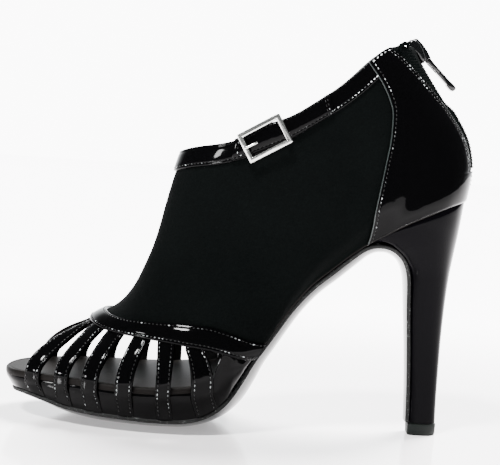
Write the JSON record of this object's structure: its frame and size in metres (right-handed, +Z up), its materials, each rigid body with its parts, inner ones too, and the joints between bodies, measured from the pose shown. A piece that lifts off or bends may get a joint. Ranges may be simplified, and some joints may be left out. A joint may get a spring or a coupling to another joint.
{
  "type": "court shoe",
  "caption": "High-heeled peep-toe platform shoe with a caged strap vamp, suede ankle shaft, patent counter, collar buckle and back zip; left shoe standing on its sole",
  "frame": {"origin": "centre of the bounding box's underside, on the floor", "axes": "+X toe to heel, +Y towards the inner (medial) side, +Z up; the outer side with the buckle faces -Y"},
  "size_m": [0.2111, 0.0838, 0.1829],
  "materials": {
    "outsole": "glossy black leather sole, thin raw edge",
    "platform": "black patent leather over the platform",
    "insole": "satin black leather footbed",
    "upper": "black suede shaft with black patent straps",
    "patent": "black patent leather, mirror gloss",
    "heel_cover": "black patent leather over the heel",
    "top_lift": "matte dark rubber",
    "buckle": "polished nickel plate",
    "zip_tape": "black woven polyester",
    "zip_metal": "black enamelled metal"
  },
  "bodies": {
    "shoe": {"outsole": "outsole", "platform": "platform", "insole": "insole", "upper": "upper", "vamp_band": "patent", "heel_counter": "patent", "collar_band": "patent", "buckle_strap": "patent", "heel": "heel_cover", "top_lift": "top_lift", "buckle_frame": "buckle", "buckle_prong": "buckle", "zip_tape": "zip_tape", "zip_teeth": "zip_metal", "zip_slider": "zip_metal"},
    "pull": {"zip_pull": "zip_metal"}
  },
  "joints": [
    {"name": "zip_pull_hinge", "type": "hinge", "parent": "shoe", "child": "pull", "pos_m": [0.0815, 0, 0.1743], "axis": [0, 1, 0], "range_deg": [-130, 15]}
  ]
}
